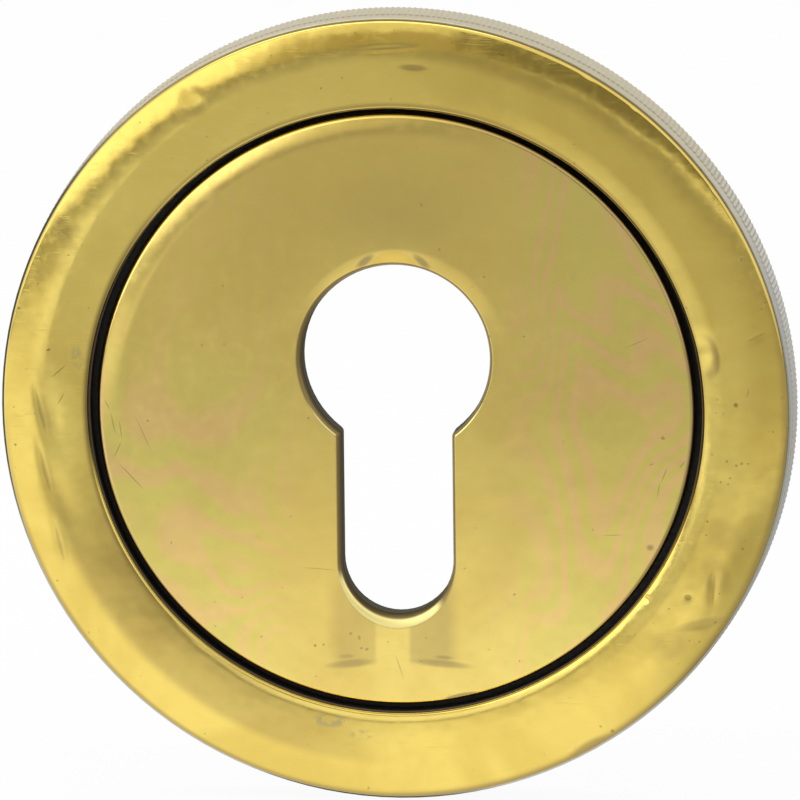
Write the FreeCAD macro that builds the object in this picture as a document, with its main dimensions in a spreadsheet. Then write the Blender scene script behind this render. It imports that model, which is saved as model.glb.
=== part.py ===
import FreeCAD, Part
import Sketcher
import os
from enum import IntEnum
from math import atan2, cos, pi, sin, sqrt

# Round escutcheon for a profile cylinder lock, upright as it sits on a door.
# +Z is up and the front looks along -Y. The origin is the middle of the cover, on the
# door's face. Each piece is drawn lying with its back on that face, and is then stood up.

doc = FreeCAD.newDocument("keyhole_escutcheon")

# Driving dimensions, in millimetres
driving = [
    ("disc_radius", 28.27, "outside of the brass disc"),
    ("face_height", 6.5, "door's face to the flat front of the brass ring"),
    ("ring_gap", 0.88, "gap between the disc and the ring"),
    ("ring_width", 8.05, "brass ring from its hole to its outside"),
    ("ring_sheet", 0.8, "sheet that the brass ring is pressed from"),
    ("ring_fall", 3.85, "outer part of its front, which falls away"),
    ("ring_crown_radius", 19.0, "curve of the front near its outer edge"),
    ("ring_edge_round", 0.5, "rounding of the rolled outer edge"),
    ("ring_bore_round", 0.25, "rounding of the edge round the hole"),
    ("ring_skirt", 1.25, "how far the rolled edge reaches back from the front"),
    ("rim_reveal", 0.21, "rim's lip outside the brass"),
    ("rim_lip_rise", 0.4, "that lip, forward of the end of the rolled edge"),
    ("rim_lip_round", 0.1, "rounding of the lip's outer edge"),
    ("rim_shoulder_width", 1.7, "smooth shoulder, from the brass to the knurl"),
    ("rim_wall", 1.91, "rim's wall outside the thread"),
    ("rim_web", 1.6, "rim's web behind the brass ring"),
    ("web_lip", 0.12, "web's edge showing inside the ring's hole"),
    ("stop_ledge", 1.1, "ledge in the rim that stops on the base plate"),
    ("knurl_lift", 0.01, "bottom of the knurl above the smooth shoulder"),
    ("knurl_depth", 0.08, "height of a ridge"),
    ("knurl_seat", 0.4, "metal between the knurl's root and the rim's core"),
    ("knurl_count", 440, "ridges round the rim"),
    ("thread_clearance", 0.1, "radial play of the screw thread"),
    ("thread_chamfer", 0.4, "lead-in at both ends of the thread"),
    ("flange_height", 3.2, "base plate's threaded flange"),
    ("plate_wall", 1.8, "base plate's wall and its seat for the disc"),
    ("plate_corner_round", 0.3, "inside corners of the base plate"),
    ("seat_chamfer", 0.3, "bevel round the seat, under the disc's bend"),
    ("disc_recess", 0.75, "disc's front behind the ring's front"),
    ("disc_sheet", 0.9, "sheet that the disc is pressed from"),
    ("disc_skirt", 2.1, "disc's turned-down edge, from its front"),
    ("disc_edge_round", 0.5, "outside of the bend round the disc"),
    ("disc_bend_round", 0.2, "inside of that bend"),
    ("disc_seat_play", 0.05, "radial play of the disc on its seat"),
    ("keyhole_round_radius", 8.9, "keyhole's round, for the lock cylinder"),
    ("keyhole_slot_width", 10.5, "keyhole's slot"),
    ("keyhole_height", 33.45, "keyhole from top to bottom"),
    ("keyhole_rise", 4.8, "keyhole's round above the middle of the cover"),
    ("keyhole_corner_round", 0.6, "corners where the slot meets the round"),
    ("keyhole_edge_round", 0.8, "disc's rounded edge along the keyhole"),
    ("screw_hole_width", 3.2, "holes for the fixing screws"),
    ("screw_head_width", 5.6, "countersinks for the screws' heads"),
    ("screw_head_angle", 90, "countersinks, in degrees"),
    ("screw_edge", 3.3, "screw holes' centres from the flange's edge"),
]

# Sizes worked out from the driving dimensions
derived = [
    ("ring_bore_radius", "=disc_radius + ring_gap"),
    ("ring_radius", "=ring_bore_radius + ring_width"),
    ("ring_flat_radius", "=ring_radius - ring_fall"),
    ("ring_underside", "=face_height - ring_sheet"),
    ("ring_skirt_end", "=face_height - ring_skirt"),
    ("ring_skirt_bore", "=ring_radius - ring_sheet"),
    ("crown_centre", "=face_height - ring_crown_radius"),
    ("crown_under_radius", "=ring_crown_radius - ring_sheet"),
    ("ring_edge_height",
     "=crown_centre + sqrt(ring_crown_radius ^ 2 - (ring_radius - ring_flat_radius) ^ 2)"),
    ("ring_under_edge",
     "=crown_centre + sqrt(crown_under_radius ^ 2 - (ring_skirt_bore - ring_flat_radius) ^ 2)"),
    ("web_bore_radius", "=ring_bore_radius - web_lip"),
    ("web_back", "=ring_underside - rim_web"),
    ("rim_radius", "=ring_radius + rim_reveal"),
    ("rim_lip_front", "=ring_skirt_end + rim_lip_rise"),
    ("knurl_width", "=ring_skirt_end - rim_shoulder_width"),
    ("knurl_root_radius", "=rim_radius + knurl_lift"),
    ("knurl_crest_radius", "=knurl_root_radius + knurl_depth"),
    ("rim_core_radius", "=knurl_root_radius - knurl_seat"),
    ("rim_thread_radius", "=rim_radius - rim_wall"),
    ("rim_ledge_radius", "=rim_thread_radius - stop_ledge"),
    ("flange_radius", "=rim_thread_radius - thread_clearance"),
    ("screw_reach", "=flange_radius - screw_edge"),
    ("disc_front", "=face_height - disc_recess"),
    ("disc_skirt_end", "=disc_front - disc_skirt"),
    ("disc_skirt_bore", "=disc_radius - disc_sheet"),
    ("seat_radius", "=disc_skirt_bore - disc_seat_play"),
    ("seat_front", "=disc_front - disc_sheet"),
    ("seat_back", "=seat_front - plate_wall"),
    ("seat_hollow_radius", "=seat_radius - plate_wall"),
    ("keyhole_slot_half", "=keyhole_slot_width / 2"),
    ("keyhole_drop", "=keyhole_height - keyhole_round_radius - keyhole_slot_half"),
]

sizes = doc.addObject("Spreadsheet::Sheet", "sizes")
for row, (alias, value, note) in enumerate(driving, start=1):
    sizes.set(f"A{row}", note)
    sizes.set(f"B{row}", str(value))
    sizes.setAlias(f"B{row}", alias)
for row, (alias, formula) in enumerate(derived, start=len(driving) + 1):
    sizes.set(f"B{row}", formula)
    sizes.setAlias(f"B{row}", alias)
doc.recompute()

# A sketch counts the points of an edge up from 1, and its own two axes down from -1
Spot = IntEnum("Spot", ["first", "last", "centre"])
across_axis, up_axis = range(-1, -3, -1)
origin = (across_axis, Spot.first)
zero = "zero"
upright = FreeCAD.Placement(FreeCAD.Vector(), FreeCAD.Rotation(FreeCAD.Vector(1, 0, 0), 90))
same_place = 0.01


def size(alias):
    return 0.0 if alias == zero else float(sizes.get(alias))


def point(across, up):
    return FreeCAD.Vector(size(across), size(up), 0)


def new_body(name):
    body = doc.addObject("PartDesign::Body", name)
    body.Label = name
    body.Placement = upright
    return body


def new_sketch(body, name, plane):
    sketch = body.newObject("Sketcher::SketchObject", name)
    planes = {feature.Role: feature for feature in body.Origin.OriginFeatures}
    sketch.AttachmentSupport = (planes[plane], "")
    sketch.MapMode = "FlatFace"
    return sketch


def bind(sketch, kind, where, alias):
    """Add a constraint whose value is a size from the sheet."""
    index = sketch.addConstraint(Sketcher.Constraint(kind, *where, size(alias)))
    sketch.setExpression(f"Constraints[{index}]", f"sizes.{alias}")


def hold_point(sketch, edge, end, across, up):
    """Hold one end of an edge at its distances from the axis and from the door's face."""
    for kind, axis, alias in (("DistanceX", up_axis, across), ("DistanceY", across_axis, up)):
        if alias == zero:
            sketch.addConstraint(Sketcher.Constraint("PointOnObject", edge, end, axis))
        else:
            bind(sketch, kind, (*origin, edge, end), alias)


def circle_arc(centre, radius, start, end):
    """The arc that runs anticlockwise round the centre from start to end."""
    circle = Part.Circle(centre, FreeCAD.Vector(0, 0, 1), radius)
    angles = [atan2(p.y - centre.y, p.x - centre.x) for p in (start, end)]
    return Part.ArcOfCircle(circle, *angles)


def crown_arc(outer, inner, radius):
    """An arc from an outer point to an inner one, centred on the door's side of them."""
    half = (outer - inner) / 2
    sideways = FreeCAD.Vector(half.y, -half.x, 0).normalize()
    centre = inner + half + sideways * sqrt(radius ** 2 - half.Length ** 2)
    return circle_arc(centre, radius, outer, inner)


def turn(body, name, corners):
    """Turn a closed section about the cover's axis. Each corner gives its distances from the
    axis and the door, and the radius of the edge that leaves it if that one is curved."""
    sketch = new_sketch(body, f"{name}_section", "XZ_Plane")
    edges = []
    for corner, after in zip(corners, corners[1:] + corners[:1]):
        here, there = point(*corner[:2]), point(*after[:2])
        ends = (Spot.first, Spot.last)
        if len(corner) == 2:
            shape = Part.LineSegment(here, there)
        elif here.x > there.x:
            shape = crown_arc(here, there, size(corner[2]))
        else:
            shape = crown_arc(there, here, size(corner[2]))
            ends = (Spot.last, Spot.first)
        edges.append((sketch.addGeometry(shape), *ends))
    for index, (edge, start, end) in enumerate(edges):
        before, before_start, before_end = edges[index - 1]
        sketch.addConstraint(Sketcher.Constraint("Coincident", before, before_end, edge, start))
        across, up, *radius = corners[index]
        hold_point(sketch, edge, start, across, up)
        if radius:
            bind(sketch, "Radius", (edge,), *radius)
    turned = body.newObject("PartDesign::Revolution", name)
    turned.Profile = sketch
    turned.ReferenceAxis = (sketch, ["V_Axis"])
    turned.Angle = 360
    doc.recompute()


def soften(body, kind, name, alias, wanted):
    """Round or bevel the edges that a test picks, by a size from the sheet."""
    base = body.Tip
    names = [f"Edge{i}" for i, edge in enumerate(base.Shape.Edges, start=1) if wanted(edge)]
    if not names:
        raise ValueError(f"{name} found no edge")
    feature = body.newObject(f"PartDesign::{kind}", name)
    feature.Base = (base, names)
    feature.setExpression("Radius" if kind == "Fillet" else "Size", f"sizes.{alias}")
    doc.recompute()


def ring_edge(radius, height):
    """A test for the circle about the cover's axis with this radius, at this height."""
    def wanted(edge):
        curve = edge.Curve
        return (curve.TypeId == "Part::GeomCircle"
                and abs(curve.Radius - size(radius)) < same_place
                and abs(curve.Center.z - size(height)) < same_place
                and curve.Center.x ** 2 + curve.Center.y ** 2 < same_place ** 2)
    return wanted


def keyhole_edge(height):
    """A test for the keyhole's edges at this height."""
    reach = size("keyhole_height")
    def wanted(edge):
        box = edge.BoundBox
        level = abs(box.ZMin - size(height)) < same_place and box.ZLength < same_place
        return level and box.XLength < reach and box.YLength < reach
    return wanted


def cut_keyhole(body):
    """Cut the keyhole: a round, a slot below it with a round end, and eased corners between."""
    sketch = new_sketch(body, "keyhole_outline", "XY_Plane")
    radius, half, corner = (size(alias) for alias in
                            ("keyhole_round_radius", "keyhole_slot_half", "keyhole_corner_round"))
    rise, drop = size("keyhole_rise"), size("keyhole_drop")
    corner_x = half + corner
    corner_y = rise - sqrt((radius + corner) ** 2 - corner_x ** 2)
    touch = radius / (radius + corner)
    touch_x, touch_y = corner_x * touch, rise + (corner_y - rise) * touch
    place = FreeCAD.Vector
    top, bottom = place(0, rise, 0), place(0, rise - drop, 0)
    right, left = place(corner_x, corner_y, 0), place(-corner_x, corner_y, 0)
    outline = [
        circle_arc(top, radius, place(touch_x, touch_y, 0), place(-touch_x, touch_y, 0)),
        circle_arc(left, corner, place(-half, corner_y, 0), place(-touch_x, touch_y, 0)),
        Part.LineSegment(place(-half, corner_y, 0), place(-half, bottom.y, 0)),
        circle_arc(bottom, half, place(-half, bottom.y, 0), place(half, bottom.y, 0)),
        Part.LineSegment(place(half, bottom.y, 0), place(half, corner_y, 0)),
        circle_arc(right, corner, place(touch_x, touch_y, 0), place(half, corner_y, 0)),
    ]
    around, left_corner, left_side, end, right_side, right_corner = sketch.addGeometry(outline)
    joins = [
        (around, Spot.last, left_corner, Spot.last),
        (left_corner, Spot.first, left_side, Spot.first),
        (left_side, Spot.last, end, Spot.first),
        (end, Spot.last, right_side, Spot.first),
        (right_side, Spot.last, right_corner, Spot.last),
        (right_corner, Spot.first, around, Spot.first),
    ]
    for join in joins:
        sketch.addConstraint(Sketcher.Constraint("Tangent", *join))
    for side in (left_side, right_side):
        sketch.addConstraint(Sketcher.Constraint("Vertical", side))
    for arc in (around, end):
        sketch.addConstraint(Sketcher.Constraint("PointOnObject", arc, Spot.centre, up_axis))
    bind(sketch, "DistanceY", (*origin, around, Spot.centre), "keyhole_rise")
    bind(sketch, "DistanceY", (end, Spot.centre, around, Spot.centre), "keyhole_drop")
    bind(sketch, "Radius", (around,), "keyhole_round_radius")
    bind(sketch, "Radius", (end,), "keyhole_slot_half")
    for arc in (left_corner, right_corner):
        bind(sketch, "Radius", (arc,), "keyhole_corner_round")
    uncut = body.Shape.Volume
    keyhole = body.newObject("PartDesign::Pocket", "keyhole")
    keyhole.Profile = sketch
    keyhole.Type = "ThroughAll"
    keyhole.Midplane = True
    doc.recompute()
    if body.Shape.Volume >= uncut:
        raise ValueError(f"the keyhole cut nothing from {body.Label}")


# Base plate: a threaded flange on the door, with a hollow raised seat for the disc
def base_plate():
    body = new_body("base_plate")
    turn(body, "plate", [
        ("seat_hollow_radius", zero),
        ("flange_radius", zero),
        ("flange_radius", "flange_height"),
        ("seat_radius", "flange_height"),
        ("seat_radius", "seat_front"),
        (zero, "seat_front"),
        (zero, "seat_back"),
        ("seat_hollow_radius", "seat_back"),
    ])
    thread_ends = [ring_edge("flange_radius", zero), ring_edge("flange_radius", "flange_height")]
    soften(body, "Chamfer", "thread_lead_in", "thread_chamfer",
           lambda edge: any(test(edge) for test in thread_ends))
    soften(body, "Chamfer", "seat_bevel", "seat_chamfer", ring_edge("seat_radius", "seat_front"))
    corners = [ring_edge("seat_radius", "flange_height"),
               ring_edge("seat_hollow_radius", "seat_back")]
    soften(body, "Fillet", "inside_corners", "plate_corner_round",
           lambda edge: any(test(edge) for test in corners))
    cut_keyhole(body)
    screw_holes(body)
    return body


def screw_holes(body):
    """Sink a hole for a countersunk screw on each side, under the cover."""
    sketch = new_sketch(body, "screw_places", "XY_Plane")
    sketch.setExpression("AttachmentOffset.Base.z", "sizes.flange_height")
    for side in (1, -1):
        centre = FreeCAD.Vector(side * size("screw_reach"), 0, 0)
        hole = sketch.addGeometry(
            Part.Circle(centre, FreeCAD.Vector(0, 0, 1), size("screw_hole_width") / 2))
        sketch.addConstraint(
            Sketcher.Constraint("PointOnObject", hole, Spot.centre, across_axis))
        ends = (*origin, hole, Spot.centre) if side > 0 else (hole, Spot.centre, *origin)
        bind(sketch, "DistanceX", ends, "screw_reach")
        bind(sketch, "Diameter", (hole,), "screw_hole_width")
    doc.recompute()
    holes = body.newObject("PartDesign::Hole", "screw_holes")
    holes.Profile = sketch
    holes.ThreadType = "None"
    holes.DepthType = "ThroughAll"
    holes.HoleCutType = "Countersink"
    holes.HoleCutCustomValues = True
    holes.setExpression("Diameter", "sizes.screw_hole_width")
    holes.setExpression("HoleCutDiameter", "sizes.screw_head_width")
    holes.setExpression("HoleCutCountersinkAngle", "sizes.screw_head_angle")
    doc.recompute()


# Keyhole disc: sheet brass with a skirt over the seat and a rounded edge round the keyhole
def keyhole_disc():
    body = new_body("keyhole_disc")
    turn(body, "disc", [
        (zero, "disc_front"),
        ("disc_radius", "disc_front"),
        ("disc_radius", "disc_skirt_end"),
        ("disc_skirt_bore", "disc_skirt_end"),
        ("disc_skirt_bore", "seat_front"),
        (zero, "seat_front"),
    ])
    soften(body, "Fillet", "bend_outside", "disc_edge_round",
           ring_edge("disc_radius", "disc_front"))
    soften(body, "Fillet", "bend_inside", "disc_bend_round",
           ring_edge("disc_skirt_bore", "seat_front"))
    cut_keyhole(body)
    soften(body, "Fillet", "keyhole_edge", "keyhole_edge_round", keyhole_edge("disc_front"))
    return body


# Knurled rim: screws on to the flange, stops on it by a ledge, and backs the brass ring,
# whose rolled edge lies inside the rim's thin lip
def knurled_rim():
    blank = new_body("rim_blank")
    turn(blank, "rim", [
        ("rim_thread_radius", zero),
        ("rim_core_radius", zero),
        ("rim_core_radius", "knurl_width"),
        ("rim_radius", "knurl_width"),
        ("rim_radius", "rim_lip_front"),
        ("ring_radius", "rim_lip_front"),
        ("ring_radius", "ring_skirt_end"),
        ("ring_skirt_bore", "ring_skirt_end"),
        ("ring_skirt_bore", "ring_under_edge", "crown_under_radius"),
        ("ring_flat_radius", "ring_underside"),
        ("web_bore_radius", "ring_underside"),
        ("web_bore_radius", "web_back"),
        ("rim_ledge_radius", "web_back"),
        ("rim_ledge_radius", "flange_height"),
        ("rim_thread_radius", "flange_height"),
    ])
    soften(blank, "Fillet", "lip_edge", "rim_lip_round",
           ring_edge("rim_radius", "rim_lip_front"))
    soften(blank, "Chamfer", "thread_mouth", "thread_chamfer",
           ring_edge("rim_thread_radius", zero))
    band = doc.addObject("Part::Feature", "knurl_band")
    band.Shape = knurl_shape()
    band.Placement = upright
    rim = doc.addObject("Part::Fuse", "knurled_rim")
    rim.Label = "knurled_rim"
    rim.Base = blank
    rim.Tool = band
    rim.Refine = False
    return rim


def knurl_shape():
    """A band of straight ridges parallel to the axis, on the rim's core: the outline goes
    from crest to root and back, once for each ridge."""
    points = []
    ridges = int(size("knurl_count"))
    half_pitch = pi / ridges
    for ridge in range(ridges):
        for step, radius in ((0, size("knurl_crest_radius")), (1, size("knurl_root_radius"))):
            angle = (2 * ridge + step) * half_pitch
            points.append(FreeCAD.Vector(radius * cos(angle), radius * sin(angle), 0))
    outside = Part.makePolygon(points + points[:1])
    inside = Part.Wire([Part.makeCircle(size("rim_core_radius"))])
    section = Part.makeFace([outside, inside], "Part::FaceMakerBullseye")
    return section.extrude(FreeCAD.Vector(0, 0, size("knurl_width")))


# Face ring: sheet brass over the rim, falling away a little before its rolled edge
def face_ring():
    body = new_body("face_ring")
    turn(body, "ring", [
        ("ring_bore_radius", "face_height"),
        ("ring_flat_radius", "face_height", "ring_crown_radius"),
        ("ring_radius", "ring_edge_height"),
        ("ring_radius", "ring_skirt_end"),
        ("ring_skirt_bore", "ring_skirt_end"),
        ("ring_skirt_bore", "ring_under_edge", "crown_under_radius"),
        ("ring_flat_radius", "ring_underside"),
        ("ring_bore_radius", "ring_underside"),
    ])
    soften(body, "Fillet", "rolled_edge", "ring_edge_round",
           ring_edge("ring_radius", "ring_edge_height"))
    soften(body, "Fillet", "bore_edge", "ring_bore_round",
           ring_edge("ring_bore_radius", "face_height"))
    return body


pieces = [base_plate(), keyhole_disc(), knurled_rim(), face_ring()]
doc.recompute()

for item in doc.Objects:
    if "Invalid" in item.State or "Error" in item.State:
        raise ValueError(f"{item.Label} didn't build: {item.State}")
for piece in pieces:
    if piece.Shape.isNull() or not piece.Shape.isValid() or len(piece.Shape.Solids) != 1:
        raise ValueError(f"{piece.Label} isn't one valid solid")

os.makedirs("parts", exist_ok=True)
for piece in pieces:
    piece.Shape.exportStep(f"parts/{piece.Label}.step")
    print(piece.Label, round(piece.Shape.Volume, 1), "mm3")
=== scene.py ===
from math import cos, pi, radians, sin

import bpy
import numpy as np
from mathutils import Matrix, Vector


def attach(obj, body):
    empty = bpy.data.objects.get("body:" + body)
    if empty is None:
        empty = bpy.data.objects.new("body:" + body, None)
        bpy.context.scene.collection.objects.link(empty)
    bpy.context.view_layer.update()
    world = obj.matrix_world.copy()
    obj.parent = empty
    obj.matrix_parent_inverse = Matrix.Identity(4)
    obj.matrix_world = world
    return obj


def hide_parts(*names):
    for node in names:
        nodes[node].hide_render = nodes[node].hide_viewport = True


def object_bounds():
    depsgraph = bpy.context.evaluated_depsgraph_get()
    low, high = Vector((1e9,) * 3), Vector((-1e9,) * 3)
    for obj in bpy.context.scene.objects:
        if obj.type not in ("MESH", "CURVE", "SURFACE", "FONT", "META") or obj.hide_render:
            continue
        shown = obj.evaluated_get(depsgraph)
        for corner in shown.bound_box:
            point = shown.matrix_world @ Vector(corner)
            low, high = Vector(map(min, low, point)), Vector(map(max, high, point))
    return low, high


# Looks of the keyhole escutcheon, standing on its edge on a pale floor.
# Metres, +Z up, the front looks along -Y. Sizes in the dictionaries are millimetres.

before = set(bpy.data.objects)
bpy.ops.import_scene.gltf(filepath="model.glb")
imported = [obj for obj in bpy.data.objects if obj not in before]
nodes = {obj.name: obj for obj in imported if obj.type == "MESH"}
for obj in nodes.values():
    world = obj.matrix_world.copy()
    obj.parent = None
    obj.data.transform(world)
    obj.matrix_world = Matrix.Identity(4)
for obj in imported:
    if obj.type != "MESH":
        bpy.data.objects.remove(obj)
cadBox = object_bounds()
mm = 0.001
print("frame loaded")


# Points and faces shared by the pieces

def loopMesh(name, points):
    # points[i, j] goes round the piece with i and round its section with j, and both close:
    # the face (i, j) joins points (i, j), (i, j+1), (i+1, j+1), (i+1, j)
    around, along = points.shape[:2]
    i, j = np.meshgrid(np.arange(around), np.arange(along), indexing="ij")
    nextI, nextJ = (i + 1) % around, (j + 1) % along
    faces = np.stack([i * along + j, i * along + nextJ, nextI * along + nextJ, nextI * along + j], -1)
    mesh = bpy.data.meshes.new(name)
    mesh.vertices.add(around * along)
    mesh.vertices.foreach_set("co", (points * mm).astype(np.float32).ravel())
    mesh.loops.add(faces.size)
    mesh.loops.foreach_set("vertex_index", faces.astype(np.int32).ravel())
    mesh.polygons.add(around * along)
    mesh.polygons.foreach_set("loop_start", np.arange(around * along, dtype=np.int32) * 4)
    mesh.update(calc_edges=True)
    mesh.shade_smooth()
    piece = bpy.data.objects.new(name, mesh)
    bpy.context.scene.collection.objects.link(piece)
    return piece


def arcPoints(centre, radius, start, end, count):
    # centre + radius * (cos a, sin a), a from start to end in degrees, without the last point
    a = np.radians(np.linspace(start, end, count, endpoint=False))
    return np.stack([centre[0] + radius * np.cos(a), centre[1] + radius * np.sin(a)], -1)


def linePoints(start, end, count):
    # start + t * (end - start), t from 0 to 1, without the last point
    t = np.linspace(0, 1, count, endpoint=False)[:, None]
    return np.array(start) + t * (np.array(end) - np.array(start))


def bump(x, z, spot):
    # depth * exp(-(u/width)^2 - (v/height)^2), with u, v along the spot's own turned axes
    a = radians(spot["turn"])
    u = (x - spot["at"][0]) * cos(a) + (z - spot["at"][1]) * sin(a)
    v = (z - spot["at"][1]) * cos(a) - (x - spot["at"][0]) * sin(a)
    return spot["depth"] * np.exp(-(u / spot["size"][0]) ** 2 - (v / spot["size"][1]) ** 2)


def toward(angle, middle, gain, shift):
    # 1 near the direction middle and 0 away from it: gain * cos(angle - middle) + shift, kept in 0 to 1
    return np.clip(gain * np.cos(angle - middle) + shift, 0, 1)


def slope(distance, width, curve):
    # (1 - distance / width)^curve, and 0 past the width
    return np.clip(1 - distance / width, 0, 1) ** curve


def saveValues(piece, name, values):
    # One number for each point of a loopMesh, for its material to read
    item = piece.data.attributes.new(name, "FLOAT", "POINT")
    item.data.foreach_set("value", values.astype(np.float32).ravel())


def place(x, height, z):
    # A point of a piece drawn lying, with its height from the door toward the front
    return np.stack(np.broadcast_arrays(x, -height, z), -1)


# The brass ring round the front

ring = {
    "bore": 29.15, "outside": 37.2, "front": 6.5, "sheet": 0.8,
    "flat": 33.35, "crown": 19.0, "edgeRound": 0.3, "boreRound": 0.2, "skirt": 1.25,
    # The front dips toward the hole by a wide slope, by a narrow one that is steeper on the right, and
    # by a short one at the lower right: how deep, how wide, the power of its curve
    "wideFall": 0.19, "wideWidth": 4.3, "wideCurve": 1.35,
    "edgeFall": 0.02, "rightFall": 0.12, "edgeWidth": 2.0, "edgeCurve": 1.25,
    "lowFall": 0.08, "lowWidth": 1.0, "lowCurve": 2,
    # Where the last two are deepest: direction in radians, gain and shift
    "rightSide": (0.35, 1.8, -0.5), "lowSide": (-1.2, 1.6, 0),
    "topInset": 0.26, "insetWidth": 2.0,   # the hole's upper part lies this much closer to the disc
    # These changes fade out down the outside, over fadeDepth from fadeEnd behind the skirt's end
    "fadeDepth": 0.4, "fadeEnd": 0.1,
    # Slow waves of the outer part: height, waves round the ring, start in degrees
    "waves": [(0.012, 3, 40), (0.01, 7, 110), (0.006, 13, 10), (0.004, 23, 75)],
    "waveFade": 4.0, "waveDrop": 0.012,   # they fade in over this width, and their middle lies this low
    # Dents and nicks: middle across and up, half width and half height, turn, depth
    "dents": [
        {"at": (29.1, 6.2), "size": (1.3, 1.6), "turn": 10, "depth": 0.10},
        {"at": (-32.6, -0.9), "size": (1.1, 3.3), "turn": 12, "depth": 0.07},
        {"at": (-31.9, -8.6), "size": (1.1, 3.5), "turn": 20, "depth": 0.08},
        {"at": (30.0, -16.6), "size": (0.45, 1.9), "turn": -4, "depth": 0.04},
        {"at": (29.3, -20.3), "size": (1.8, 0.5), "turn": 8, "depth": 0.045},
        {"at": (-18.8, 30.0), "size": (1.3, 1.0), "turn": -30, "depth": 0.05},
        {"at": (2.1, 32.9), "size": (1.4, 0.5), "turn": -3, "depth": 0.025},
        {"at": (-0.5, 34.6), "size": (2.6, 0.3), "turn": 4, "depth": 0.03},
        {"at": (34.3, 7.3), "size": (1.3, 0.35), "turn": 27, "depth": 0.025},
        {"at": (-33.7, -0.5), "size": (0.35, 2.6), "turn": 12, "depth": 0.03},
        {"at": (-33.4, -6.1), "size": (0.35, 2.7), "turn": 13, "depth": 0.03},
        {"at": (-32.1, -13.1), "size": (0.35, 2.3), "turn": 13, "depth": 0.025},
        {"at": (23.6, -17.8), "size": (0.4, 0.2), "turn": -50, "depth": 0.05},
        {"at": (18.6, 32.1), "size": (0.45, 0.12), "turn": -30, "depth": 0.05},
        {"at": (22.9, 29.2), "size": (0.25, 0.12), "turn": -38, "depth": 0.05},
        {"at": (30.4, 21.3), "size": (0.3, 0.12), "turn": -55, "depth": 0.05},
        {"at": (27.6, -17.6), "size": (0.45, 0.35), "turn": 0, "depth": 0.02},
    ],
    "around": 800,      # points round the ring
    "outerParts": 6,    # of the section's parts, as many as lie outside the sheet
}


def ringSection():
    # Radius and height round the ring's section, anticlockwise with the front on top, and
    # 1 for the points that are outside the sheet and 0 for those under it
    r, h = ring["outside"], ring["front"]
    crownCentre = h - ring["crown"]
    under = ring["crown"] - ring["sheet"]
    edge = ring["edgeRound"]
    # Centre of the rolled edge: inside the crown's circle and inside the outside cylinder
    edgeX = r - edge
    edgeY = crownCentre + ((ring["crown"] - edge) ** 2 - (edgeX - ring["flat"]) ** 2) ** 0.5
    tilt = np.degrees(np.arctan2(edgeY - crownCentre, edgeX - ring["flat"]))
    skirtBore = r - ring["sheet"]
    underEdge = crownCentre + (under ** 2 - (skirtBore - ring["flat"]) ** 2) ** 0.5
    underTilt = np.degrees(np.arctan2(underEdge - crownCentre, skirtBore - ring["flat"]))
    bore, corner = ring["bore"], ring["boreRound"]
    parts = [
        linePoints((skirtBore, h - ring["skirt"]), (r, h - ring["skirt"]), 3),
        linePoints((r, h - ring["skirt"]), (r, edgeY), 3),
        arcPoints((edgeX, edgeY), edge, 0, tilt, 12),
        arcPoints((ring["flat"], crownCentre), ring["crown"], tilt, 90, 40),
        linePoints((ring["flat"], h), (bore + corner, h), 44),
        arcPoints((bore + corner, h - corner), corner, 90, 180, 7),
        linePoints((bore, h - corner), (bore, h - ring["sheet"]), 3),
        linePoints((bore, h - ring["sheet"]), (ring["flat"], h - ring["sheet"]), 4),
        arcPoints((ring["flat"], crownCentre), under, 90, underTilt, 4),
        linePoints((skirtBore, underEdge), (skirtBore, h - ring["skirt"]), 3),
    ]
    outer, inner = parts[:ring["outerParts"]], parts[ring["outerParts"]:]
    return np.concatenate(parts), np.repeat((1, 0), (sum(map(len, outer)), sum(map(len, inner))))


def makeRing():
    # The section turned about the axis. Its front drops by fall * (1 - distance / width)^curve
    # beside the hole, by depth * exp(-(u/width)^2 - (v/height)^2) in each dent, and its outer part
    # rises and falls by the sum of height * sin(waves * angle + start). The hole's upper part is
    # drawn in by inset * (1 - distance / width) * sin(angle)^2
    section, outer = ringSection()
    angle = np.linspace(0, 2 * pi, ring["around"], endpoint=False)[:, None]
    radius, height = section[None, :, 0], section[None, :, 1]
    distance = radius - ring["bore"]
    inset = slope(distance, ring["insetWidth"], 1) * ring["topInset"] * np.clip(np.sin(angle), 0, 1) ** 2
    x, z = (radius - inset) * np.cos(angle), (radius - inset) * np.sin(angle)
    fadeStart = ring["front"] - ring["skirt"] - ring["fadeEnd"]
    front = outer * np.clip((height - fadeStart) / ring["fadeDepth"], 0, 1)
    wide = ring["wideFall"] * slope(distance, ring["wideWidth"], ring["wideCurve"])
    edgeFall = ring["edgeFall"] + ring["rightFall"] * toward(angle, *ring["rightSide"])
    narrow = edgeFall * slope(distance, ring["edgeWidth"], ring["edgeCurve"])
    lowFall = ring["lowFall"] * toward(angle, *ring["lowSide"])
    low = lowFall * slope(distance, ring["lowWidth"], ring["lowCurve"])
    rim = np.clip((radius - ring["flat"]) / ring["waveFade"] + 0.5, 0, 1)
    wave = sum(size * np.sin(count * angle + radians(first)) for size, count, first in ring["waves"])
    moved = height - front * (wide + narrow + low)
    moved = moved + front * rim * (wave - ring["waveDrop"])
    for dent in ring["dents"]:
        moved = moved - front * bump(x, z, dent)
    points = place(x, moved, z)
    piece = loopMesh("brass_ring", points[:, ::-1])
    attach(piece, "root")
    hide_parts("face_ring")
    return piece


# The brass disc with the keyhole

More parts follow.
